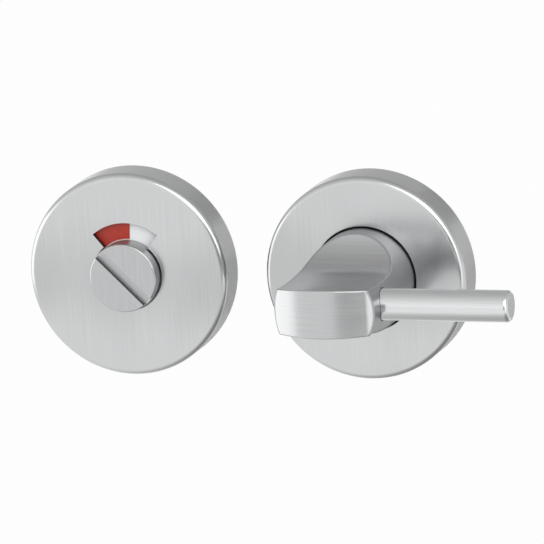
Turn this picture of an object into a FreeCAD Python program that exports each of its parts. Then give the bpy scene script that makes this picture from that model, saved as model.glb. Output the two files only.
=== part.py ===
"""Bathroom thumb turn lock: an inside rose with a lever thumb turn, and an outside rose with a
coin release and a red and white indicator, laid side by side as they leave the box.

Each half is drawn in its own frame: X to the right, Y up, Z out of the door towards the hand, with
Z = 0 on the door's face. A quarter turn about X then stands it on a door whose face is the XZ plane.
"""

import FreeCAD, Part
import math
import os
import types

import Sketcher

doc = FreeCAD.newDocument("thumb_turn_lock")
sheet = doc.addObject("Spreadsheet::Sheet", "Dims")

# Driving dimensions, in millimetres and degrees
DIMENSIONS = [
    # The two roses
    ("pair_spacing", 62.5, "between the axes of the two roses"),
    ("rose_diameter", 52, "outside of each cover"),
    ("rose_depth", 10, "door face to cover face"),
    ("rose_wall", 1.5, "sheet of the covers"),
    ("rose_edge", 1.5, "rounding of the covers at the front"),
    ("small_edge", 0.4, "rounding of the lesser edges"),
    ("hole_edge", 0.2, "rounding of the turn's hole in its cover"),
    ("clearance", 0.2, "between pieces that stay apart"),
    ("snap_height", 0.4, "bead on the inner rose that snaps into the cover"),
    # Moulded inner roses
    ("plate_thickness", 3.5, "plate of the inner rose"),
    ("rib_width", 2.0, "rim, hub and ribs of the inner rose"),
    ("pocket_angle", 34, "each pocket in the back of the plate"),
    ("fixing_spacing", 38, "between the fixing centres"),
    ("fixing_hole", 4.3, "clearance hole for a through bolt"),
    ("bolt_head_depth", 2.6, "seat of a bolt head"),
    ("lug_diameter", 8, "support lug that enters the door"),
    ("lug_length", 6, "support lug behind the door face"),
    ("insert_diameter", 6, "threaded insert in a release lug"),
    ("insert_bore", 3.3, "core of its thread"),
    # Bearings, the same stack in both halves
    ("fit_clearance", 0.02, "pieces fitted tight into each other"),
    ("running_clearance", 0.05, "pieces that turn or slide on each other"),
    ("bush_wall", 1.5, "bearing bush"),
    ("bush_flange", 1.0, "flange of the bush"),
    ("ring_width", 3.0, "disc spring and thrust washer across the ring"),
    ("spring_height", 0.9, "disc spring under the turning piece"),
    ("spring_sheet", 0.4, "sheet of the disc spring"),
    ("washer_thickness", 0.5, "thrust washer"),
    ("clip_thickness", 1.0, "retaining clip"),
    ("clip_width", 1.6, "retaining clip across the ring"),
    ("clip_seat", 0.4, "groove for the clip in the neck"),
    ("clip_eye", 1.1, "plier holes in the clip"),
    # Thumb turn
    ("turn_diameter", 26, "round body of the turn"),
    ("turn_gap", 0.4, "turning piece to the hole in its cover"),
    ("turn_neck", 14, "neck in the bush"),
    ("turn_projection", 38, "cover face to the end of the grip"),
    ("boss_height", 5.1, "cover face to the rim of the scoops"),
    ("grip_end", 12.5, "thickness of the grip at its end"),
    ("grip_waist", 11, "thickness of the grip where it is thinnest"),
    ("waist_height", 17, "cover face to the waist"),
    ("flank_radius", 90, "hollow of the grip beyond the waist"),
    ("grip_dome", 26, "radius of the end face"),
    ("grip_corner", 5, "rounding at both sides of the end face"),
    # Lever bar
    ("lever_diameter", 8, "bar"),
    ("lever_height", 25.5, "cover face to the middle of the bar"),
    ("lever_reach", 45.5, "turning axis to the end of the bar"),
    ("lever_end", 1.0, "rounding of the end of the bar"),
    ("lever_seat", 2.0, "bar let into the side of the turn"),
    ("lever_stud", 5, "threaded end of the bar"),
    ("lever_stud_length", 7.5, "threaded end along the bar"),
    # Spindle and its pin
    ("spindle_size", 5, "across the flats"),
    ("spindle_reach", 42, "beyond the door face"),
    ("spindle_hold", 14, "inside the neck of the turn"),
    ("pin_diameter", 2, "cross pin through neck and spindle"),
    ("pin_level", 3.6, "door face to the pin"),
    # Coin release and indicator
    ("head_diameter", 17.5, "coin disc"),
    ("head_proud", 3.8, "coin disc above the cover"),
    ("slot_width", 2.6, "coin slot"),
    ("slot_depth", 1.3, "coin slot"),
    ("slot_angle", -45, "coin slot at half turn"),
    ("release_neck", 10, "neck in the bush"),
    ("socket_depth", 8, "socket for the end of the spindle"),
    ("window_radius", 13.4, "outer edge of the window"),
    ("window_half_angle", 39.5, "window each side of upright"),
    ("dial_radius", 16.5, "indicator dial"),
    ("dial_thickness", 1.0, "indicator dial"),
    ("dial_gap", 0.3, "dial to the sheet of the cover"),
    ("peg_diameter", 1.5, "pegs that turn the dial"),
    ("film_thickness", 0.15, "red film on the dial"),
    ("film_angle", 188, "red part of the dial"),
]


class Size:
    """A length or an angle: its number, and the expression on the sheet that gives it."""

    def __init__(self, number, text):
        self.number = number
        self.text = text

    def __add__(self, other):
        other = as_size(other)
        return Size(self.number + other.number, f"({self.text} + {other.text})")

    def __sub__(self, other):
        other = as_size(other)
        return Size(self.number - other.number, f"({self.text} - {other.text})")

    def __mul__(self, factor):
        return Size(self.number * factor, f"({self.text} * {factor})")

    def __truediv__(self, divisor):
        return Size(self.number / divisor, f"({self.text} / {divisor})")

    def __neg__(self):
        return Size(-self.number, f"(-{self.text})")


def as_size(thing):
    return thing if isinstance(thing, Size) else Size(thing, str(thing))


for row, (alias, number, note) in enumerate(DIMENSIONS, start=1):
    sheet.set(f"A{row}", note)
    sheet.set(f"B{row}", str(number))
    sheet.setAlias(f"B{row}", alias)
doc.recompute()
d = types.SimpleNamespace(**{alias: Size(number, f"Dims.{alias}") for alias, number, _ in DIMENSIONS})

# Radii and levels that several pieces share
ROSE_R = d.rose_diameter / 2
COVER_BORE_R = ROSE_R - d.rose_wall
COVER_SHEET = d.rose_depth - d.rose_wall
PLATE_R = COVER_BORE_R - d.clearance
BEAD_R = PLATE_R + d.snap_height
BEAD_BOTTOM = d.snap_height * 5
BEAD_TOP = d.snap_height * 7
FIXING_X = d.fixing_spacing / 2
NECK_END = d.clearance
CLIP_BOTTOM = NECK_END + d.clip_seat
CLIP_TOP = CLIP_BOTTOM + d.clip_thickness
WASHER_BOTTOM = CLIP_TOP + d.running_clearance
WASHER_TOP = WASHER_BOTTOM + d.washer_thickness
RECESS_TOP = WASHER_TOP + d.running_clearance
DIAL_TOP = COVER_SHEET - d.dial_gap
DIAL_BOTTOM = DIAL_TOP - d.dial_thickness
SPRING_TOP = DIAL_BOTTOM - d.running_clearance
SPRING_BOTTOM = SPRING_TOP - d.spring_height
FLANGE_TOP = SPRING_BOTTOM - d.running_clearance
HUB_TOP = FLANGE_TOP - d.bush_flange

TURN_R = d.turn_diameter / 2
SCOOP_RIM = d.rose_depth + d.boss_height
WAIST_LEVEL = d.rose_depth + d.waist_height
GRIP_TOP = d.rose_depth + d.turn_projection
LEVER_LEVEL = d.rose_depth + d.lever_height
LEVER_SEAT_X = TURN_R - d.lever_seat
LEVER_ROOT_X = LEVER_SEAT_X - d.lever_stud_length

HEAD_R = d.head_diameter / 2
HEAD_TOP = d.rose_depth + d.head_proud
PEG_X = (d.head_diameter + d.release_neck) / 4

# Where each half stands along the door
TURN_X = as_size(0)
RELEASE_X = -d.pair_spacing

# How far a cutting profile runs past the solid that it cuts
RUN_OUT = 1


def origin_plane(body, role):
    return next(f for f in body.Origin.OriginFeatures if f.Role == role)


def new_body(label, centre_x):
    """A body whose own XY plane is the door's face, standing on the door at that centre."""
    body = doc.addObject("PartDesign::Body", label)
    body.Label = label
    quarter_turn = FreeCAD.Rotation(FreeCAD.Vector(1, 0, 0), 90)
    body.Placement = FreeCAD.Placement(FreeCAD.Vector(), quarter_turn)
    body.setExpression("Placement.Base.x", centre_x.text)
    return body


def new_sketch(body, name, plane, level=None, turn=None):
    """A sketch on one of the body's origin planes, moved along and turned about its normal."""
    sketch = body.newObject("Sketcher::SketchObject", name)
    sketch.AttachmentSupport = [(origin_plane(body, plane), "")]
    sketch.MapMode = "FlatFace"
    upright = FreeCAD.Rotation(FreeCAD.Vector(0, 0, 1), 0)
    sketch.AttachmentOffset = FreeCAD.Placement(FreeCAD.Vector(), upright)
    if level is not None:
        sketch.setExpression("AttachmentOffset.Base.z", level.text)
    if turn is not None:
        sketch.setExpression("AttachmentOffset.Rotation.Angle", turn.text)
    return sketch


def constrain(sketch, kind, *where, size):
    """A dimension of the sketch that follows the sheet."""
    index = sketch.addConstraint(Sketcher.Constraint(kind, *where, size.number))
    sketch.setExpression(f"Constraints[{index}]", size.text)


def fix_point(sketch, geometry, point, x, y):
    """Holds a point of the sketch at two coordinates; a plain 0 puts it on the axis."""
    for kind, size, axis in (("DistanceX", x, -2), ("DistanceY", y, -1)):
        if isinstance(size, Size):
            constrain(sketch, kind, -1, 1, geometry, point, size=size)
        else:
            sketch.addConstraint(Sketcher.Constraint("PointOnObject", geometry, point, axis))


def place(corner):
    x, y = corner
    return FreeCAD.Vector(as_size(x).number, as_size(y).number, 0)


def add_outline(sketch, corners):
    """A closed outline of straight lines through the corners."""
    first = sketch.GeometryCount
    count = len(corners)
    for i, corner in enumerate(corners):
        following = corners[(i + 1) % count]
        sketch.addGeometry(Part.LineSegment(place(corner), place(following)))
    for i in range(count):
        following = first + (i + 1) % count
        sketch.addConstraint(Sketcher.Constraint("Coincident", first + i, 2, following, 1))
    for i, (x, y) in enumerate(corners):
        fix_point(sketch, first + i, 1, x, y)


def add_box(sketch, x0, x1, y0, y1):
    add_outline(sketch, [(x0, y0), (x1, y0), (x1, y1), (x0, y1)])


def add_square(sketch, half):
    add_box(sketch, -half, half, -half, half)


def add_circle(sketch, x, y, diameter):
    circle = Part.Circle(place((x, y)), FreeCAD.Vector(0, 0, 1), diameter.number / 2)
    index = sketch.addGeometry(circle)
    fix_point(sketch, index, 3, x, y)
    constrain(sketch, "Diameter", index, size=diameter)


def arc_about(centre, start, end):
    """The arc about a centre from one point counterclockwise to another."""
    angles = [math.atan2(p.y - centre.y, p.x - centre.x) for p in (start, end)]
    circle = Part.Circle(centre, FreeCAD.Vector(0, 0, 1), (start - centre).Length)
    return Part.ArcOfCircle(circle, *angles)


def join_ends(sketch, kind, pairs):
    """Ties the end of each first line or arc to the start of the second."""
    for first, second in pairs:
        sketch.addConstraint(Sketcher.Constraint(kind, first, 2, second, 1))


def volume(body):
    return 0.0 if body.Shape.isNull() else body.Shape.Volume


def rebuild(body, feature, sign):
    """Recomputes, and stops if the feature did not add (+1) or take away (-1) material."""
    before = volume(body)
    doc.recompute()
    change = (volume(body) - before) * sign
    if change <= 0:
        raise RuntimeError(f"{feature.Name} changed {body.Label} the wrong way")
    return feature


def revolve(body, sketch, angle=None):
    """Turns a profile about the body's Z axis: all round, or over an angle evenly about its plane."""
    feature = body.newObject("PartDesign::Revolution", f"{body.Name}_turned")
    feature.Profile = sketch
    feature.ReferenceAxis = (sketch, ["V_Axis"])
    feature.Angle = 360
    if angle is not None:
        feature.Midplane = True
        feature.setExpression("Angle", angle.text)
    return rebuild(body, feature, +1)


def groove(body, sketch, angle):
    """Cuts a profile out over an angle that lies evenly about the sketch's plane."""
    feature = body.newObject("PartDesign::Groove", f"{body.Name}_groove")
    feature.Profile = sketch
    feature.ReferenceAxis = (sketch, ["V_Axis"])
    feature.Midplane = True
    feature.setExpression("Angle", angle.text)
    return rebuild(body, feature, -1)


def pad(body, sketch, length, reverse=False):
    feature = body.newObject("PartDesign::Pad", f"{body.Name}_pad")
    feature.Profile = sketch
    feature.Reversed = reverse
    feature.setExpression("Length", length.text)
    return rebuild(body, feature, +1)


def pocket(body, sketch, length=None, both_sides=False, along_normal=False):
    """Cuts a profile out: against the sketch's normal or along it, to a depth or through all."""
    feature = body.newObject("PartDesign::Pocket", f"{body.Name}_pocket")
    feature.Profile = sketch
    feature.Reversed = along_normal
    if both_sides:
        feature.SideType = "Symmetric"
    if length is None:
        feature.Type = "ThroughAll"
    else:
        feature.setExpression("Length", length.text)
    return rebuild(body, feature, -1)


def dress(body, kind, size, wanted):
    """A fillet or chamfer on every edge of the body that the test picks."""
    base = body.Tip
    names = [f"Edge{i}" for i, edge in enumerate(base.Shape.Edges, start=1) if wanted(edge)]
    if not names:
        raise RuntimeError(f"{body.Label} has no edge of the kind to be dressed")
    feature = body.newObject(f"PartDesign::{kind}", f"{body.Name}_{kind.lower()}")
    feature.Base = (base, names)
    feature.setExpression("Radius" if kind == "Fillet" else "Size", size.text)
    doc.recompute()
    return feature


def near(a, b):
    return abs(a - b) < 1e-4


def at_level(edge, level):
    return near(edge.BoundBox.ZMin, level.number) and near(edge.BoundBox.ZMax, level.number)


def circle_at(radius, level):
    """A test for edges that lie on one circle about the Z axis."""

    def wanted(edge):
        if not isinstance(edge.Curve, Part.Circle) or not at_level(edge, level):
            return False
        return near(edge.Curve.Radius, radius.number) and edge.Curve.Center.x**2 < 1e-8

    return wanted


# Covers


def make_cover(label, centre_x, hole_r):
    """A cup of sheet steel with a hole in its face, grooved inside to snap over the inner rose."""
    body = new_body(label, centre_x)
    profile = new_sketch(body, f"{label}_profile", "XZ_Plane")
    groove_r = BEAD_R + d.clearance
    groove_bottom = BEAD_BOTTOM - d.clearance
    groove_top = BEAD_TOP + d.clearance
    corners = [
        (ROSE_R, 0),
        (ROSE_R, d.rose_depth),
        (hole_r, d.rose_depth),
        (hole_r, COVER_SHEET),
        (COVER_BORE_R, COVER_SHEET),
        (COVER_BORE_R, groove_top),
        (groove_r, groove_top),
        (groove_r, groove_bottom),
        (COVER_BORE_R, groove_bottom),
        (COVER_BORE_R, 0),
    ]
    add_outline(profile, corners)
    revolve(body, profile)
    dress(body, "Fillet", d.rose_edge, circle_at(ROSE_R, d.rose_depth))
    return body


def make_turn_cover():
    hole_r = TURN_R + d.turn_gap
    body = make_cover("turn_rose_cover", TURN_X, hole_r)
    dress(body, "Fillet", d.hole_edge, circle_at(hole_r, d.rose_depth))
    return body


def make_release_cover():
    """Its hole opens upwards into the window, a part of a ring about the same axis."""
    body = make_cover("release_rose_cover", RELEASE_X, HEAD_R + d.turn_gap)
    window = new_sketch(body, "window_profile", "YZ_Plane")
    add_box(window, HEAD_R, d.window_radius, COVER_SHEET - d.clearance, HEAD_TOP)
    groove(body, window, d.window_half_angle * 2)
    return body


# Inner roses


def make_inner_rose(label, centre_x, neck):
    """A moulded plate with a hub for the bush, a rim behind the cover and pockets in its back."""
    body = new_body(label, centre_x)
    bush_r = neck / 2 + d.running_clearance + d.bush_wall + d.fit_clearance
    recess_r = neck / 2 + d.ring_width + d.clearance
    hub_r = recess_r + d.rib_width
    rim_r = PLATE_R - d.rib_width
    rim_top = COVER_SHEET - d.clearance
    profile = new_sketch(body, f"{label}_profile", "XZ_Plane")
    corners = [
        (recess_r, 0),
        (PLATE_R, 0),
        (PLATE_R, BEAD_BOTTOM),
        (BEAD_R, BEAD_BOTTOM + d.snap_height),
        (PLATE_R, BEAD_TOP),
        (PLATE_R, rim_top),
        (rim_r, rim_top),
        (rim_r, d.plate_thickness),
        (hub_r, d.plate_thickness),
        (hub_r, HUB_TOP),
        (bush_r, HUB_TOP),
        (bush_r, RECESS_TOP),
        (recess_r, RECESS_TOP),
    ]
    add_outline(profile, corners)
    revolve(body, profile)
    hollow = new_sketch(body, f"{label}_hollow", "YZ_Plane")
    add_box(hollow, hub_r, rim_r, -d.rose_wall, d.plate_thickness - d.rose_wall)
    first_pocket = groove(body, hollow, d.pocket_angle)
    ring = body.newObject("PartDesign::PolarPattern", f"{label}_pockets")
    ring.Originals = [first_pocket]
    ring.Axis = (profile, ["V_Axis"])
    ring.Angle = 360
    ring.Occurrences = 8
    body.Tip = ring
    rebuild(body, ring, -1)
    pillar_r = PLATE_R - FIXING_X - d.clearance
    pillars = new_sketch(body, f"{label}_pillars", "XY_Plane")
    lugs = new_sketch(body, f"{label}_lugs", "XY_Plane")
    for x in (FIXING_X, -FIXING_X):
        add_circle(pillars, x, 0, pillar_r * 2)
        add_circle(lugs, x, 0, d.lug_diameter)
    pad(body, pillars, d.plate_thickness)
    pad(body, lugs, d.lug_length, reverse=True)
    return body


def fixing_holes(body, name, level, diameter, length=None):
    """The same hole on both fixing centres, cut towards the front from a level."""
    sketch = new_sketch(body, name, "XY_Plane", level=level)
    for x in (FIXING_X, -FIXING_X):
        add_circle(sketch, x, 0, diameter)
    return pocket(body, sketch, length, along_normal=True)


def make_turn_inner_rose():
    """Through bolts pass its lugs from the front, with their heads under the cover."""
    body = make_inner_rose("turn_inner_rose", TURN_X, d.turn_neck)
    fixing_holes(body, "bolt_holes", -d.lug_length, d.fixing_hole)
    fixing_holes(body, "bolt_heads", d.plate_thickness - d.bolt_head_depth, d.fixing_hole * 2)
    return body


def make_release_inner_rose():
    """Its lugs hold threaded inserts, so that no screw shows outside."""
    body = make_inner_rose("release_inner_rose", RELEASE_X, d.release_neck)
    bore = d.insert_diameter + d.fit_clearance * 2
    fixing_holes(body, "insert_bores", -d.lug_length, bore, d.lug_length + d.rib_width)
    return body


def make_threaded_inserts():
    """Two turned brass inserts, flush with the ends of the release's lugs."""
    inserts = []
    for side, x in (("right", FIXING_X), ("left", -FIXING_X)):
        insert = doc.addObject("Part::Cut", f"insert_{side}")
        insert.Base = insert_cylinder(f"insert_{side}_outside", x, d.insert_diameter)
        insert.Tool = insert_cylinder(f"insert_{side}_core", x, d.insert_bore)
        inserts.append(insert)
    group = doc.addObject("Part::Compound", "release_threaded_inserts")
    group.Links = inserts
    doc.recompute()
    return group


def insert_cylinder(name, x, diameter):
    cylinder = doc.addObject("Part::Cylinder", name)
    quarter_turn = FreeCAD.Rotation(FreeCAD.Vector(1, 0, 0), 90)
    cylinder.Placement = FreeCAD.Placement(FreeCAD.Vector(), quarter_turn)
    cylinder.setExpression("Radius", (diameter / 2).text)
    cylinder.setExpression("Height", (d.lug_length + d.rib_width).text)
    cylinder.setExpression("Placement.Base.x", (RELEASE_X + x).text)
    cylinder.setExpression("Placement.Base.y", d.lug_length.text)
    return cylinder


# Bearing stack


def make_ring(label, centre_x, corners):
    body = new_body(label, centre_x)
    profile = new_sketch(body, f"{label}_profile", "XZ_Plane")
    add_outline(profile, corners)
    revolve(body, profile)
    return body


def make_bush(label, centre_x, neck):
    """A flanged bush, pressed into the hub from the front."""
    bore_r = neck / 2 + d.running_clearance
    outer_r = bore_r + d.bush_wall
    flange_r = outer_r + d.bush_wall
    corners = [
        (bore_r, RECESS_TOP),
        (outer_r, RECESS_TOP),
        (outer_r, HUB_TOP),
        (flange_r, HUB_TOP),
        (flange_r, FLANGE_TOP),
        (bore_r, FLANGE_TOP),
    ]
    return make_ring(label, centre_x, corners)


def make_disc_spring(label, centre_x, neck):
    """A coned ring of spring sheet that keeps the turning piece from rattling."""
    inner_r = neck / 2 + d.clearance
    outer_r = inner_r + d.ring_width
    corners = [
        (outer_r, SPRING_BOTTOM),
        (outer_r, SPRING_BOTTOM + d.spring_sheet),
        (inner_r, SPRING_TOP),
        (inner_r, SPRING_TOP - d.spring_sheet),
    ]
    return make_ring(label, centre_x, corners)


def make_thrust_washer(label, centre_x, neck):
    """A flat ring between the plate and the clip."""
    inner_r = neck / 2 + d.running_clearance
    outer_r = neck / 2 + d.ring_width
    corners = [
        (inner_r, WASHER_BOTTOM),
        (outer_r, WASHER_BOTTOM),
        (outer_r, WASHER_TOP),
        (inner_r, WASHER_TOP),
    ]
    return make_ring(label, centre_x, corners)


def make_clip(label, centre_x, neck):
    """An external retaining ring: an open ring with an eyed ear at each end of its gap."""
    body = new_body(label, centre_x)
    bore = neck - d.clip_seat * 2 + d.running_clearance * 2
    outer = bore + d.clip_width * 2
    ear_x = d.clip_width * 2
    ear_y = bore / 2 + d.clip_width / 2
    ring = new_sketch(body, f"{label}_ring", "XY_Plane", level=CLIP_BOTTOM)
    add_circle(ring, 0, 0, outer)
    pad(body, ring, d.clip_thickness)
    ears = new_sketch(body, f"{label}_ears", "XY_Plane", level=CLIP_BOTTOM)
    for x in (ear_x, -ear_x):
        add_circle(ears, x, ear_y, d.clip_width * 2)
    pad(body, ears, d.clip_thickness)
    inside = new_sketch(body, f"{label}_inside", "XY_Plane", level=CLIP_BOTTOM)
    add_circle(inside, 0, 0, bore)
    pocket(body, inside, along_normal=True)
    gap = new_sketch(body, f"{label}_gap", "XY_Plane", level=CLIP_BOTTOM)
    add_box(gap, -d.clip_width, d.clip_width, 0, outer)
    pocket(body, gap, along_normal=True)
    eyes = new_sketch(body, f"{label}_eyes", "XY_Plane", level=CLIP_BOTTOM)
    for x in (ear_x, -ear_x):
        add_circle(eyes, x, ear_y, d.clip_eye)
    pocket(body, eyes, along_normal=True)
    return body


def neck_corners(neck):
    """The outline of a neck from the middle of its end up to the far side of the clip's groove."""
    seat_r = neck / 2 - d.clip_seat
    groove_bottom = CLIP_BOTTOM - d.running_clearance
    groove_top = CLIP_TOP + d.running_clearance
    return [
        (0, NECK_END),
        (neck / 2, NECK_END),
        (neck / 2, groove_bottom),
        (seat_r, groove_bottom),
        (seat_r, groove_top),
        (neck / 2, groove_top),
    ]


def square_socket(body, name, size, depth, turn=None):
    """A square hole up the end of a neck."""
    sketch = new_sketch(body, name, "XY_Plane", level=NECK_END, turn=turn)
    add_square(sketch, size / 2)
    return pocket(body, sketch, depth, along_normal=True)


# Thumb turn


def make_turn_knob():
    """One casting: a round neck and body, hollowed above and below to leave a grip across it."""
    body = new_body("turn_knob", TURN_X)
    profile = new_sketch(body, "turn_profile", "XZ_Plane")
    corners = neck_corners(d.turn_neck)
    corners += [(d.turn_neck / 2, DIAL_BOTTOM), (TURN_R, DIAL_BOTTOM), (TURN_R, GRIP_TOP), (0, GRIP_TOP)]
    add_outline(profile, corners)
    revolve(body, profile)
    dome_the_end(body)
    scoop_the_sides(body)
    shaped = body.Tip.Shape
    dress(body, "Fillet", d.small_edge, lambda edge: is_grip_edge(edge, shaped))
    square_socket(body, "spindle_socket", d.spindle_size, d.spindle_hold)
    cross_hole(body, "neck_pin_hole")
    lever_hole(body, "lever_seat", LEVER_SEAT_X, d.lever_diameter + d.clearance * 2)
    lever_hole(body, "lever_thread", LEVER_ROOT_X - d.running_clearance, d.lever_stud + d.fit_clearance * 2)
    return body


def dome_the_end(body):
    """Takes off what lies beyond a wide arc across the end of the grip, with tighter arcs beside it."""
    sketch = new_sketch(body, "dome_profile", "XZ_Plane")
    half = TURN_R + RUN_OUT
    top = GRIP_TOP + RUN_OUT
    dome = d.grip_dome.number
    corner = d.grip_corner.number
    corner_x = half.number - corner
    rise = ((dome - corner) ** 2 - corner_x**2) ** 0.5
    centre = FreeCAD.Vector(0, GRIP_TOP.number - dome, 0)
    right_centre = centre + FreeCAD.Vector(corner_x, rise, 0)
    left_centre = centre + FreeCAD.Vector(-corner_x, rise, 0)
    right_join = centre + (right_centre - centre) * (dome / (dome - corner))
    left_join = centre + (left_centre - centre) * (dome / (dome - corner))
    right_end = right_centre + FreeCAD.Vector(corner, 0, 0)
    left_end = left_centre - FreeCAD.Vector(corner, 0, 0)
    sketch.addGeometry(arc_about(right_centre, right_end, right_join))
    sketch.addGeometry(arc_about(centre, right_join, left_join))
    sketch.addGeometry(arc_about(left_centre, left_join, left_end))
    sketch.addGeometry(Part.LineSegment(left_end, place((-half, top))))
    sketch.addGeometry(Part.LineSegment(place((-half, top)), place((half, top))))
    sketch.addGeometry(Part.LineSegment(place((half, top)), right_end))
    join_ends(sketch, "Tangent", ((0, 1), (1, 2), (2, 3), (5, 0)))
    join_ends(sketch, "Coincident", ((3, 4), (4, 5)))
    sketch.addConstraint(Sketcher.Constraint("Vertical", 3))
    sketch.addConstraint(Sketcher.Constraint("Vertical", 5))
    fix_point(sketch, 4, 1, -half, top)
    fix_point(sketch, 4, 2, half, top)
    fix_point(sketch, 1, 3, 0, GRIP_TOP - d.grip_dome)
    for arc, size in ((0, d.grip_corner), (1, d.grip_dome), (2, d.grip_corner)):
        constrain(sketch, "Radius", arc, size=size)
    pocket(body, sketch, both_sides=True)


def scoop_the_sides(body):
    """Takes off the top and the bottom, each along a deep arc that runs into the hollow flank."""
    sketch = new_sketch(body, "scoop_profile", "YZ_Plane")
    clear_y = TURN_R + RUN_OUT
    clear_z = GRIP_TOP + RUN_OUT
    rim = place((clear_y, SCOOP_RIM))
    waist = place((d.grip_waist / 2, WAIST_LEVEL))
    end = place((d.grip_end / 2, GRIP_TOP))
    half_chord = (end - waist) / 2
    height = (d.flank_radius.number**2 - half_chord.Length**2) ** 0.5
    outward = FreeCAD.Vector(half_chord.y, -half_chord.x, 0).normalize()
    flank_centre = waist + half_chord + outward * height
    inward = (flank_centre - waist).normalize()
    chord = rim - waist
    scoop_centre = waist + inward * (chord.dot(chord) / (2 * chord.dot(inward)))
    sketch.addGeometry(arc_about(flank_centre, end, waist))
    sketch.addGeometry(arc_about(scoop_centre, waist, rim))
    corners = [rim, place((clear_y, clear_z)), place((d.grip_end / 2, clear_z)), end]
    for corner, following in zip(corners, corners[1:]):
        sketch.addGeometry(Part.LineSegment(corner, following))
    join_ends(sketch, "Tangent", ((0, 1),))
    join_ends(sketch, "Coincident", ((1, 2), (2, 3), (3, 4), (4, 0)))
    fix_point(sketch, 0, 1, d.grip_end / 2, GRIP_TOP)
    fix_point(sketch, 0, 2, d.grip_waist / 2, WAIST_LEVEL)
    fix_point(sketch, 2, 1, clear_y, SCOOP_RIM)
    fix_point(sketch, 3, 1, clear_y, clear_z)
    fix_point(sketch, 4, 1, d.grip_end / 2, clear_z)
    constrain(sketch, "Radius", 0, size=d.flank_radius)
    upper = pocket(body, sketch, both_sides=True)
    lower = body.newObject("PartDesign::Mirrored", "lower_scoop")
    lower.Originals = [upper]
    lower.MirrorPlane = (origin_plane(body, "XZ_Plane"), [""])
    body.Tip = lower
    rebuild(body, lower, -1)


def round_axis(face):
    """Which way the axis of a round face points: 0 across, 1 up, 2 out; None for other faces."""
    if not isinstance(face.Surface, Part.Cylinder):
        return None
    along = [abs(part) for part in face.Surface.Axis]
    return along.index(max(along))


def is_grip_edge(edge, shape):
    """The edges between the round side of the turn, its scoops and its end face."""
    axes = {round_axis(face) for face in shape.ancestorsOfType(edge, Part.Face)}
    return len(axes) == 2 and None not in axes


def cross_hole(body, name):
    """A hole for the pin, straight through along X."""
    sketch = new_sketch(body, name, "YZ_Plane")
    add_circle(sketch, 0, d.pin_level, d.pin_diameter)
    return pocket(body, sketch, both_sides=True)


def lever_hole(body, name, bottom_x, diameter):
    """A round hole in the right-hand side of the turn, from its bottom outwards."""
    sketch = new_sketch(body, name, "YZ_Plane", level=bottom_x)
    add_circle(sketch, 0, LEVER_LEVEL, diameter)
    return pocket(body, sketch, along_normal=True)


def make_lever_bar():
    """A round bar screwed into the side of the turn, drawn along Z and laid along X."""
    body = doc.addObject("PartDesign::Body", "lever_bar")
    body.Label = "lever_bar"
    laid_down = FreeCAD.Rotation(FreeCAD.Vector(0, 1, 0), 90)
    body.Placement = FreeCAD.Placement(FreeCAD.Vector(), laid_down)
    body.setExpression("Placement.Base.y", (-LEVER_LEVEL).text)
    profile = new_sketch(body, "lever_profile", "XZ_Plane")
    bar_r = d.lever_diameter / 2
    stud_r = d.lever_stud / 2
    corners = [
        (0, LEVER_ROOT_X),
        (stud_r, LEVER_ROOT_X),
        (stud_r, LEVER_SEAT_X + d.fit_clearance),
        (bar_r, LEVER_SEAT_X + d.fit_clearance),
        (bar_r, d.lever_reach),
        (0, d.lever_reach),
    ]
    add_outline(profile, corners)
    revolve(body, profile)
    dress(body, "Fillet", d.lever_end, circle_at(bar_r, d.lever_reach))
    return body


def make_spindle():
    """Square drawn bar, from the turn's neck through the door towards the release."""
    body = new_body("spindle", TURN_X)
    section = new_sketch(body, "spindle_section", "XY_Plane", level=-d.spindle_reach)
    add_square(section, d.spindle_size / 2 - d.fit_clearance)
    inner_end = NECK_END + d.spindle_hold - d.running_clearance
    pad(body, section, d.spindle_reach + inner_end)
    ends = (-d.spindle_reach, inner_end)
    dress(body, "Chamfer", d.small_edge, lambda edge: any(at_level(edge, level) for level in ends))
    cross_hole(body, "spindle_pin_hole")
    return body


def make_spindle_pin():
    """A plain pin across neck and spindle, kept in by the bush round it."""
    pin = doc.addObject("Part::Cylinder", "spindle_pin")
    laid_down = FreeCAD.Rotation(FreeCAD.Vector(0, 1, 0), 90)
    pin.Placement = FreeCAD.Placement(FreeCAD.Vector(), laid_down)
    half_length = d.turn_neck / 2 - d.clearance
    pin.setExpression("Radius", (d.pin_diameter / 2 - d.fit_clearance).text)
    pin.setExpression("Height", (half_length * 2).text)
    pin.setExpression("Placement.Base.x", (-half_length).text)
    pin.setExpression("Placement.Base.y", (-d.pin_level).text)
    doc.recompute()
    return pin


# Coin release and indicator


def make_release_disc():
    """A turned disc with a coin slot across its face, a neck, and two pegs that carry the dial."""
    body = new_body("release_disc", RELEASE_X)
    profile = new_sketch(body, "release_profile", "XZ_Plane")
    corners = neck_corners(d.release_neck)
    corners += [(d.release_neck / 2, DIAL_TOP), (HEAD_R, DIAL_TOP), (HEAD_R, HEAD_TOP), (0, HEAD_TOP)]
    add_outline(profile, corners)
    revolve(body, profile)
    dress(body, "Fillet", d.small_edge, circle_at(HEAD_R, HEAD_TOP))
    slot = new_sketch(body, "coin_slot", "XY_Plane", level=HEAD_TOP, turn=d.slot_angle)
    add_box(slot, -d.head_diameter, d.head_diameter, -d.slot_width / 2, d.slot_width / 2)
    pocket(body, slot, d.slot_depth)
    socket_size = d.spindle_size + d.running_clearance * 4
    square_socket(body, "release_socket", socket_size, d.socket_depth, turn=d.slot_angle)
    pegs = new_sketch(body, "drive_pegs", "XY_Plane", level=DIAL_TOP)
    for x in (PEG_X, -PEG_X):
        add_circle(pegs, x, 0, d.peg_diameter)
    pad(body, pegs, d.dial_thickness, reverse=True)
    return body


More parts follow.
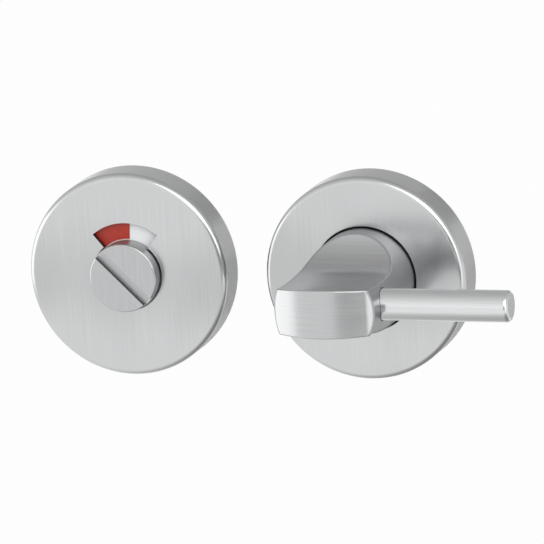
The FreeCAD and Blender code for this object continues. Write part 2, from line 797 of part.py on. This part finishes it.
def make_indicator_dial():
    """A moulded white disc under the cover, turned by the pegs of the coin disc."""
    inner_r = d.release_neck / 2 + d.running_clearance
    top = DIAL_TOP - d.fit_clearance
    corners = [(inner_r, DIAL_BOTTOM), (d.dial_radius, DIAL_BOTTOM), (d.dial_radius, top), (inner_r, top)]
    body = make_ring("indicator_dial", RELEASE_X, corners)
    holes = new_sketch(body, "peg_holes", "XY_Plane", level=DIAL_BOTTOM)
    for x in (PEG_X, -PEG_X):
        add_circle(holes, x, 0, d.peg_diameter + d.running_clearance * 2)
    pocket(body, holes, along_normal=True)
    return body


def make_red_film():
    """The red film stuck on the dial, evenly about its left-hand side at half turn."""
    body = new_body("indicator_red_film", RELEASE_X)
    profile = new_sketch(body, "film_profile", "XZ_Plane")
    bottom = DIAL_TOP - d.fit_clearance
    top = bottom + d.film_thickness
    add_box(profile, d.clearance - d.dial_radius, -HEAD_R - d.clearance, bottom, top)
    revolve(body, profile, d.film_angle)
    return body


subparts = [
    make_turn_cover(),
    make_turn_inner_rose(),
    make_bush("turn_bush", TURN_X, d.turn_neck),
    make_disc_spring("turn_disc_spring", TURN_X, d.turn_neck),
    make_thrust_washer("turn_thrust_washer", TURN_X, d.turn_neck),
    make_clip("turn_retaining_clip", TURN_X, d.turn_neck),
    make_turn_knob(),
    make_lever_bar(),
    make_spindle(),
    make_spindle_pin(),
    make_release_cover(),
    make_release_inner_rose(),
    make_threaded_inserts(),
    make_bush("release_bush", RELEASE_X, d.release_neck),
    make_disc_spring("release_disc_spring", RELEASE_X, d.release_neck),
    make_thrust_washer("release_thrust_washer", RELEASE_X, d.release_neck),
    make_clip("release_retaining_clip", RELEASE_X, d.release_neck),
    make_release_disc(),
    make_indicator_dial(),
    make_red_film(),
]
doc.recompute()

failed = [o.Name for o in doc.Objects if "Invalid" in o.State or "Error" in o.State]
if failed:
    raise RuntimeError(f"these objects failed: {failed}")
for part in subparts:
    if part.Shape.isNull() or not part.Shape.isValid() or not part.Shape.Solids:
        raise RuntimeError(f"{part.Label} has no valid solid")

os.makedirs("parts", exist_ok=True)
for part in subparts:
    part.Shape.exportStep(f"parts/{part.Label}.step")
    print(f"{part.Label}: {len(part.Shape.Solids)} solid(s), {part.Shape.Volume:.1f} mm3")
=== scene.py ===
"""Looks of a bathroom thumb turn lock: an outside rose with a coin release and an indicator, and an
inside rose with a lever thumb turn, both in satin stainless steel."""

import math

import bpy
from mathutils import Matrix, Vector


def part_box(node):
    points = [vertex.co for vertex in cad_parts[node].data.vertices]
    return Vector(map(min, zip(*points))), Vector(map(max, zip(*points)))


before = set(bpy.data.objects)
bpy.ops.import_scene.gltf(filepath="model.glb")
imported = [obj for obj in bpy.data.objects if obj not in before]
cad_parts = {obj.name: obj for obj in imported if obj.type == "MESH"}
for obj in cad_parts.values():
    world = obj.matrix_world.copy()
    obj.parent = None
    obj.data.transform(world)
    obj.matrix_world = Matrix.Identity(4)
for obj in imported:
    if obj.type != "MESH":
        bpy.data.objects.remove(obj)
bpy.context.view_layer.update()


# Inner roses: one moulding of dark glass-filled nylon behind each cover, with ribs, lugs and a snap
# bead. The mould leaves a fine, even grain, and the filler shows as a faint mottle.

noise_low = 0.3
noise_high = 0.7


def new_finish(name, metallic=0.0):
    """A material with its nodes and its shader, ready to be given its looks."""
    finish = bpy.data.materials.new(name)
    finish.use_nodes = True
    tree = finish.node_tree
    shader = tree.nodes["Principled BSDF"]
    shader.inputs["Metallic"].default_value = metallic
    return finish, tree, shader


def feed(tree, socket, given):
    """Leads an output into a socket, or sets a plain value on it."""
    if isinstance(given, bpy.types.NodeSocket):
        tree.links.new(given, socket)
    else:
        socket.default_value = given


def grain(tree, per_metre, detail=3.0):
    """A noise over the piece, with so many grains to a metre along X, Y and Z."""
    where = tree.nodes.new("ShaderNodeTexCoord")
    stretch = tree.nodes.new("ShaderNodeVectorMath")
    stretch.operation = "MULTIPLY"
    noise = tree.nodes.new("ShaderNodeTexNoise")
    noise.inputs["Scale"].default_value = 1.0
    noise.inputs["Detail"].default_value = detail
    feed(tree, stretch.inputs[0], where.outputs["Object"])
    feed(tree, stretch.inputs[1], per_metre)
    feed(tree, noise.inputs["Vector"], stretch.outputs["Vector"])
    return noise.outputs["Fac"]


def scaled(tree, amount, start, end, low, high, course="LINEAR"):
    """A number that goes from low to high while the amount goes from start to end."""
    scale = tree.nodes.new("ShaderNodeMapRange")
    scale.interpolation_type = course
    scale.inputs["From Min"].default_value = start
    scale.inputs["From Max"].default_value = end
    scale.inputs["To Min"].default_value = low
    scale.inputs["To Max"].default_value = high
    feed(tree, scale.inputs["Value"], amount)
    return scale.outputs["Result"]


def between(tree, noise, low, high):
    """A number that follows a noise from low to high."""
    return scaled(tree, noise, noise_low, noise_high, low, high)


def tint(tree, noise, dark, light):
    """A colour that follows a noise from dark to light."""
    ramp = tree.nodes.new("ShaderNodeValToRGB")
    first, last = ramp.color_ramp.elements
    first.position = noise_low
    first.color = (*dark, 1)
    last.position = noise_high
    last.color = (*light, 1)
    feed(tree, ramp.inputs["Fac"], noise)
    return ramp.outputs["Color"]


def dress(tree, shader, colour, roughness):
    """Gives a shader its colour and its roughness."""
    feed(tree, shader.inputs["Base Color"], colour)
    feed(tree, shader.inputs["Roughness"], roughness)


def relief(tree, shader, noise, depth):
    """Fine relief from a noise, as deep as given in metres."""
    bump = tree.nodes.new("ShaderNodeBump")
    bump.inputs["Strength"].default_value = 1.0
    bump.inputs["Distance"].default_value = depth
    feed(tree, bump.inputs["Height"], noise)
    feed(tree, shader.inputs["Normal"], bump.outputs["Normal"])


def wear(finish, *names):
    """Puts a finish on pieces that came with the frame."""
    for name in names:
        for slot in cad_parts[name].material_slots:
            slot.material = finish


nylon, tree, shader = new_finish("dark_nylon")
filler = grain(tree, per_metre=(900, 900, 900))
mould_grain = grain(tree, per_metre=(5000, 5000, 5000))
nylon_colour = tint(tree, filler, dark=(0.022, 0.022, 0.024), light=(0.040, 0.040, 0.043))
dress(tree, shader, nylon_colour, between(tree, filler, low=0.48, high=0.62))
relief(tree, shader, mould_grain, depth=0.00001)
wear(nylon, "turn_inner_rose", "release_inner_rose")


# Threaded inserts: two turned brass inserts pressed into the lugs of the release rose. Turning
# leaves fine rings about their axes.

brass, tree, shader = new_finish("insert_brass", metallic=1.0)
rings = grain(tree, per_metre=(200, 9000, 200))
brass_colour = tint(tree, rings, dark=(0.60, 0.43, 0.17), light=(0.72, 0.54, 0.25))
dress(tree, shader, brass_colour, between(tree, rings, low=0.24, high=0.36))
relief(tree, shader, rings, depth=0.000006)
wear(brass, "release_threaded_inserts")


# Bushes: flanged bearings moulded in pale acetal, slightly waxy, and pressed into the hubs of the
# inner roses. The necks of the turn and of the coin disc run in them.

acetal, tree, shader = new_finish("pale_acetal")
flow = grain(tree, per_metre=(300, 300, 300))
acetal_colour = tint(tree, flow, dark=(0.74, 0.73, 0.68), light=(0.80, 0.79, 0.74))
dress(tree, shader, acetal_colour, between(tree, flow, low=0.34, high=0.44))
wear(acetal, "turn_bush", "release_bush")


# Disc springs, thrust washers and retaining clips: stamped from spring sheet and phosphated, which
# leaves a dark, slightly mottled grey.

phosphate, tree, shader = new_finish("spring_steel", metallic=0.9)
mottle = grain(tree, per_metre=(1500, 1500, 1500), detail=5.0)
phosphate_colour = tint(tree, mottle, dark=(0.20, 0.20, 0.21), light=(0.36, 0.36, 0.37))
dress(tree, shader, phosphate_colour, between(tree, mottle, low=0.36, high=0.52))
wear(phosphate, "turn_disc_spring", "turn_thrust_washer", "turn_retaining_clip")
wear(phosphate, "release_disc_spring", "release_thrust_washer", "release_retaining_clip")


# Spindle and pin: square bar and wire, bright drawn and zinc plated, so their fine lines run along
# them. The pin holds the spindle in the neck of the turn.

zinc, tree, shader = new_finish("drawn_steel", metallic=1.0)
drawn = grain(tree, per_metre=(4000, 60, 4000))
zinc_colour = tint(tree, drawn, dark=(0.52, 0.53, 0.55), light=(0.63, 0.64, 0.66))
dress(tree, shader, zinc_colour, between(tree, drawn, low=0.22, high=0.36))
relief(tree, shader, drawn, depth=0.000004)
wear(zinc, "spindle", "spindle_pin")


# Thumb turn: one stainless casting, hollowed above and below into a grip, then brushed by hand
# across the grip, where the lines are finest. Its round side is left coarser, as it was turned, and is
# painted darker than the grip as painted shade.


def axis_of(name):
    """The middle of a round piece, on the axis that runs through it into the door."""
    low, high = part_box(name)
    return (low + high) / 2


def radius_of(name):
    """Half the width of a round piece."""
    low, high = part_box(name)
    return (high.x - low.x) / 2


def reckon(tree, operation, first, second=0.0):
    """A number worked out from two others, each of them an output or a plain number."""
    node = tree.nodes.new("ShaderNodeMath")
    node.operation = operation
    feed(tree, node.inputs[0], first)
    feed(tree, node.inputs[1], second)
    return node.outputs["Value"]


def blend(tree, amount, first, second, kind="FLOAT"):
    """A mix of two numbers or colours, each of them an output or a plain value."""
    mix = tree.nodes.new("ShaderNodeMix")
    mix.data_type = kind
    feed(tree, mix.inputs["Factor"], amount)
    feed(tree, mix.inputs["A"], first)
    feed(tree, mix.inputs["B"], second)
    return mix.outputs["Result"]


def near_axis(tree, axis, reach):
    """One within reach of an axis that runs straight into the door, and nought beyond."""
    where = tree.nodes.new("ShaderNodeTexCoord")
    off_axis = tree.nodes.new("ShaderNodeVectorMath")
    off_axis.operation = "SUBTRACT"
    flat = tree.nodes.new("ShaderNodeVectorMath")
    flat.operation = "MULTIPLY"
    length = tree.nodes.new("ShaderNodeVectorMath")
    length.operation = "LENGTH"
    feed(tree, off_axis.inputs[0], where.outputs["Object"])
    feed(tree, off_axis.inputs[1], axis)
    feed(tree, flat.inputs[0], off_axis.outputs["Vector"])
    feed(tree, flat.inputs[1], (1, 0, 1))
    feed(tree, length.inputs[0], flat.outputs["Vector"])
    return reckon(tree, "LESS_THAN", length.outputs["Value"], reach)


turn_axis = axis_of("turn_rose_cover")
brushed_reach = radius_of("turn_knob") - 0.0004
# Painted shade: the round side is coloured darker than the grip.
shaded_side_colour = (0.42, 0.425, 0.43, 1)
side_roughness = 0.42

turn_steel, tree, shader = new_finish("turn_satin_steel", metallic=1.0)
across = grain(tree, per_metre=(60, 250, 3500))
grip = near_axis(tree, turn_axis, brushed_reach)
grip_colour = tint(tree, across, dark=(0.530, 0.536, 0.541), light=(0.570, 0.576, 0.581))
grip_roughness = between(tree, across, low=0.22, high=0.26)
turn_colour = blend(tree, grip, shaded_side_colour, grip_colour, "RGBA")
dress(tree, shader, turn_colour, blend(tree, grip, side_roughness, grip_roughness))
relief(tree, shader, across, depth=0.000002)
wear(turn_steel, "turn_knob")


# Lever bar: round stainless bar with a flat end, screwed into the side of the turn. It is ground to
# a finer satin than the rest.

bar_steel, tree, shader = new_finish("bar_satin_steel", metallic=1.0)
ground = grain(tree, per_metre=(120, 4500, 4500))
bar_colour = tint(tree, ground, dark=(0.715, 0.722, 0.727), light=(0.765, 0.772, 0.777))
dress(tree, shader, bar_colour, between(tree, ground, low=0.12, high=0.18))
relief(tree, shader, ground, depth=0.000001)
wear(bar_steel, "lever_bar")


# Covers: cups drawn from stainless sheet that snap over the inner roses. Their faces are brushed
# straight up and down and carry a painted sheen that lightens them towards the top and the bottom,
# and their side walls are brushed round about. The hole and the window are punched and their edges
# left rough, and those edges are painted near black as painted shade in the gaps and the recess.

release_axis = axis_of("release_rose_cover")
sheen_reach = 0.022
# Painted shade: near the axis, surfaces that look sideways are painted near black.
edge_shade_reach = 0.0145
edge_shade_colour = (0.08, 0.08, 0.083, 1)
punched_roughness = 0.5
sideways_look = -0.3


def measure(tree, output, axis):
    """How far along an axis a point lies, or its surface looks."""
    where = tree.nodes.new("ShaderNodeTexCoord")
    split = tree.nodes.new("ShaderNodeSeparateXYZ")
    feed(tree, split.inputs["Vector"], where.outputs[output])
    return split.outputs[axis]


def edge_on(tree):
    """One on surfaces that look sideways or back, and nought on those that look forwards."""
    return reckon(tree, "GREATER_THAN", measure(tree, "Normal", "Y"), sideways_look)


def satin_cover(name, axis):
    """The finish of one cover, with painted shade on its edges about that axis and a painted sheen."""
    steel, tree, shader = new_finish(name, metallic=1.0)
    upright = grain(tree, per_metre=(3200, 300, 45))
    around = grain(tree, per_metre=(40, 5000, 40))
    handling = grain(tree, per_metre=(45, 45, 30), detail=1.0)
    squareness = reckon(tree, "ABSOLUTE", measure(tree, "Normal", "Y"))
    facing = scaled(tree, squareness, start=0.1, end=0.6, low=0.0, high=1.0)
    height = reckon(tree, "ABSOLUTE", measure(tree, "Object", "Z"))
    # Painted highlight: the faces grow lighter towards the top and the bottom.
    painted_sheen = scaled(tree, height, 0.0, sheen_reach, low=-0.15, high=0.25, course="SMOOTHSTEP")
    lines = blend(tree, facing, around, upright)
    handling_and_sheen = reckon(tree, "ADD", handling, reckon(tree, "MULTIPLY", painted_sheen, facing))
    satin = tint(tree, lines, dark=(0.606, 0.612, 0.617), light=(0.646, 0.652, 0.657))
    shade = tree.nodes.new("ShaderNodeMix")
    shade.data_type = "RGBA"
    shade.blend_type = "MULTIPLY"
    shade.inputs["Factor"].default_value = 1.0
    feed(tree, shade.inputs["A"], satin)
    feed(tree, shade.inputs["B"], tint(tree, handling_and_sheen, dark=(0.85, 0.85, 0.85), light=(1.0, 1.0, 1.0)))
    brushed_roughness = between(tree, lines, low=0.18, high=0.22)
    # Painted shade on the edges of the hole and the window.
    edge_shade = reckon(tree, "MULTIPLY", near_axis(tree, axis, edge_shade_reach), edge_on(tree))
    cover_colour = blend(tree, edge_shade, shade.outputs["Result"], edge_shade_colour, "RGBA")
    dress(tree, shader, cover_colour, blend(tree, edge_shade, brushed_roughness, punched_roughness))
    relief(tree, shader, lines, depth=0.000002)
    return steel


wear(satin_cover("turn_cover_satin_steel", turn_axis), "turn_rose_cover")
wear(satin_cover("release_cover_satin_steel", release_axis), "release_rose_cover")


# Coin disc: turned from stainless bar and brushed like the cover round it. Its rim stays as turned
# and rougher, and is painted a little darker than the face as painted shade. The slot is milled across
# its face afterwards, and its walls are painted near black as painted shade in the slot.

# Painted shade: the walls of the slot are painted near black.
slot_shade_reach = radius_of("release_disc") - 0.00015
slot_floor_reach = radius_of("release_disc") - 0.00045
just_behind_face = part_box("release_disc")[0].y + 0.0001
slot_shade_colour = (0.09, 0.09, 0.094, 1)
# Painted shade: the rim is coloured a little darker than the face.
shaded_rim_colour = (0.47, 0.475, 0.48, 1)
unbrushed_roughness = 0.44

disc_steel, tree, shader = new_finish("disc_satin_steel", metallic=1.0)
brushing = grain(tree, per_metre=(3200, 300, 60))
turned = edge_on(tree)
# Painted shade in the slot.
slot_shade = reckon(tree, "MULTIPLY", turned, near_axis(tree, release_axis, slot_shade_reach))
sunk = reckon(tree, "GREATER_THAN", measure(tree, "Object", "Y"), just_behind_face)
slot_floor = reckon(tree, "MULTIPLY", sunk, near_axis(tree, release_axis, slot_floor_reach))
unbrushed = reckon(tree, "MAXIMUM", turned, slot_floor)
face_colour = tint(tree, brushing, dark=(0.505, 0.511, 0.516), light=(0.545, 0.551, 0.556))
face_roughness = between(tree, brushing, low=0.22, high=0.26)
face_and_rim = blend(tree, turned, face_colour, shaded_rim_colour, "RGBA")
disc_colour = blend(tree, slot_shade, face_and_rim, slot_shade_colour, "RGBA")
dress(tree, shader, disc_colour, blend(tree, unbrushed, face_roughness, unbrushed_roughness))
relief(tree, shader, brushing, depth=0.000002)
wear(disc_steel, "release_disc")


# Indicator: a white moulded dial behind the window, with a red film stuck on one half of it. The
# coin disc turns it, so that the window shows one colour or the other.

white, tree, shader = new_finish("white_plastic")
milky = grain(tree, per_metre=(400, 400, 400))
white_colour = tint(tree, milky, dark=(0.92, 0.95, 0.95), light=(0.95, 0.97, 0.97))
dress(tree, shader, white_colour, between(tree, milky, low=0.26, high=0.34))
wear(white, "indicator_dial")

red, tree, shader = new_finish("red_film")
ink = grain(tree, per_metre=(700, 700, 700))
red_colour = tint(tree, ink, dark=(0.41, 0.025, 0.010), light=(0.475, 0.032, 0.014))
dress(tree, shader, red_colour, between(tree, ink, low=0.30, high=0.40))
wear(red, "indicator_red_film")


# Studio: a wide pale floor well below the lock, which hangs as it would on its door. The floor is
# greyer under the lock, a painted shadow that runs out to white, and it keeps the lock's shadow.

floor_width = 40
floor_level = -0.3
# Painted shadow: the middle of the grey pool on the floor.
painted_shadow_middle = (0.2, 0.0, floor_level)
glow_share = 0.96
paper_colour = (0.9, 0.9, 0.9, 1)
paper_roughness = 0.9

bpy.ops.object.select_all(action="DESELECT")
bpy.ops.mesh.primitive_plane_add(size=floor_width, location=(0, 0, floor_level))
floor = bpy.context.object
floor.name = "studio_floor"
bpy.ops.object.transform_apply(location=True, rotation=False, scale=False)

paper, tree, shader = new_finish("studio_paper")
dress(tree, shader, paper_colour, paper_roughness)
where = tree.nodes.new("ShaderNodeTexCoord")
away = tree.nodes.new("ShaderNodeVectorMath")
away.operation = "DISTANCE"
feed(tree, away.inputs[0], where.outputs["Object"])
feed(tree, away.inputs[1], painted_shadow_middle)
# Painted shadow: the floor glows less near the lock and full white further out.
painted_shadow_fade = scaled(tree, away.outputs["Value"], start=0.08, end=0.56, low=0.3, high=1.0, course="SMOOTHSTEP")
glow = tree.nodes.new("ShaderNodeEmission")
feed(tree, glow.inputs["Strength"], painted_shadow_fade)
ray = tree.nodes.new("ShaderNodeLightPath")
seen = reckon(tree, "MAXIMUM", ray.outputs["Is Camera Ray"], ray.outputs["Is Glossy Ray"])
seen = reckon(tree, "MAXIMUM", seen, ray.outputs["Is Transmission Ray"])
sheet = tree.nodes.new("ShaderNodeMixShader")
feed(tree, sheet.inputs["Fac"], reckon(tree, "MULTIPLY", seen, glow_share))
feed(tree, sheet.inputs[1], shader.outputs["BSDF"])
feed(tree, sheet.inputs[2], glow.outputs["Emission"])
feed(tree, tree.nodes["Material Output"].inputs["Surface"], sheet.outputs["Shader"])
floor.data.materials.append(paper)


# Light: a tent of white cloth that is brighter in front and below than behind and above, a softbox
# at each side, and a third one high in front, which lights the indicator in its window.

tent_level = 0.87
tent_backwards = -0.24
tent_upwards = -0.31
lock_middle = Vector((-0.0225, -0.015, 0.0))

world = bpy.data.worlds.new("studio_tent")
bpy.context.scene.world = world
world.use_nodes = True
tree = world.node_tree
cloth = tree.nodes["Background"]
behind = reckon(tree, "MULTIPLY", measure(tree, "Generated", "Y"), tent_backwards)
above = reckon(tree, "MULTIPLY", measure(tree, "Generated", "Z"), tent_upwards)
feed(tree, cloth.inputs["Color"], (1, 1, 1, 1))
feed(tree, cloth.inputs["Strength"], reckon(tree, "ADD", reckon(tree, "ADD", behind, tent_level), above))


def softbox(name, place, wide, high, level):
    """A lamp behind a sheet of white cloth that faces the lock; level is how bright the cloth is."""
    lamp = bpy.data.lights.new(name, "AREA")
    lamp.shape = "RECTANGLE"
    lamp.size = wide
    lamp.size_y = high
    lamp.energy = level * math.pi * wide * high
    box = bpy.data.objects.new(name, lamp)
    bpy.context.scene.collection.objects.link(box)
    box.location = place
    box.rotation_euler = (Vector(place) - lock_middle).to_track_quat("Z", "Y").to_euler()
    box.visible_camera = False


softbox("left_softbox", place=(-0.86, -0.24, -0.02), wide=0.95, high=0.5, level=0.85)
softbox("right_softbox", place=(0.7, -0.52, -0.02), wide=0.45, high=0.5, level=0.55)
softbox("upper_softbox", place=(0.6, -0.98, 0.66), wide=1.3, high=1.1, level=1.45)


# Grey cards: three sheets of paper behind the lock and one in front of it, none of them in the
# picture. The side walls mirror those behind and the right of the grip the one in front, and so
# they stand out from the faces.


def grey_card(name, place, wide, high, turn, shade):
    """A sheet of grey paper that stands upright, turned by so many degrees about its middle."""
    upright = (math.pi / 2, 0, math.radians(turn))
    bpy.ops.object.select_all(action="DESELECT")
    bpy.ops.mesh.primitive_plane_add(size=1.0, location=place, rotation=upright)
    card = bpy.context.object
    card.name = name
    card.scale = (wide, high, 1.0)
    bpy.ops.object.transform_apply(location=True, rotation=True, scale=True)
    card.visible_camera = False
    paper, tree, shader = new_finish(name + "_paper")
    dress(tree, shader, (shade, shade, shade, 1), paper_roughness)
    card.data.materials.append(paper)


grey_card("back_card", place=(0.42, 0.9, -0.06), wide=0.62, high=0.46, turn=-20, shade=0.72)
grey_card("high_card", place=(0.42, 0.9, 0.39), wide=0.62, high=0.44, turn=-20, shade=0.46)
grey_card("low_card", place=(-0.12, 0.6, -0.19), wide=0.66, high=0.22, turn=0, shade=0.5)
grey_card("front_card", place=(0.36, -1.1, 0.0), wide=0.75, high=0.58, turn=18, shade=0.63)


# Camera: a long lens, a little to the right of the lock and above it, so that both roses come out
# about the same size and their side walls show at the top and on the right.

camera_aim = (-0.02256, -0.015, 0.00262)
camera_distance = 2.5
camera_round = 18.25
camera_above = 13.3
camera_tilt = -3.42

sideways = Matrix.Rotation(math.radians(camera_round), 4, "Z")
downwards = Matrix.Rotation(math.radians(90 - camera_above), 4, "X")
tilt = Matrix.Rotation(math.radians(camera_tilt), 4, "Z")
aim = Matrix.Translation(camera_aim)
back = Matrix.Translation((0, 0, camera_distance))
bpy.ops.object.camera_add()
camera = bpy.context.object
camera.data.sensor_width = 36
camera.data.lens = 662.4
camera.matrix_world = aim @ sideways @ downwards @ tilt @ back
bpy.context.scene.camera = camera
bpy.context.scene.view_settings.view_transform = "Standard"
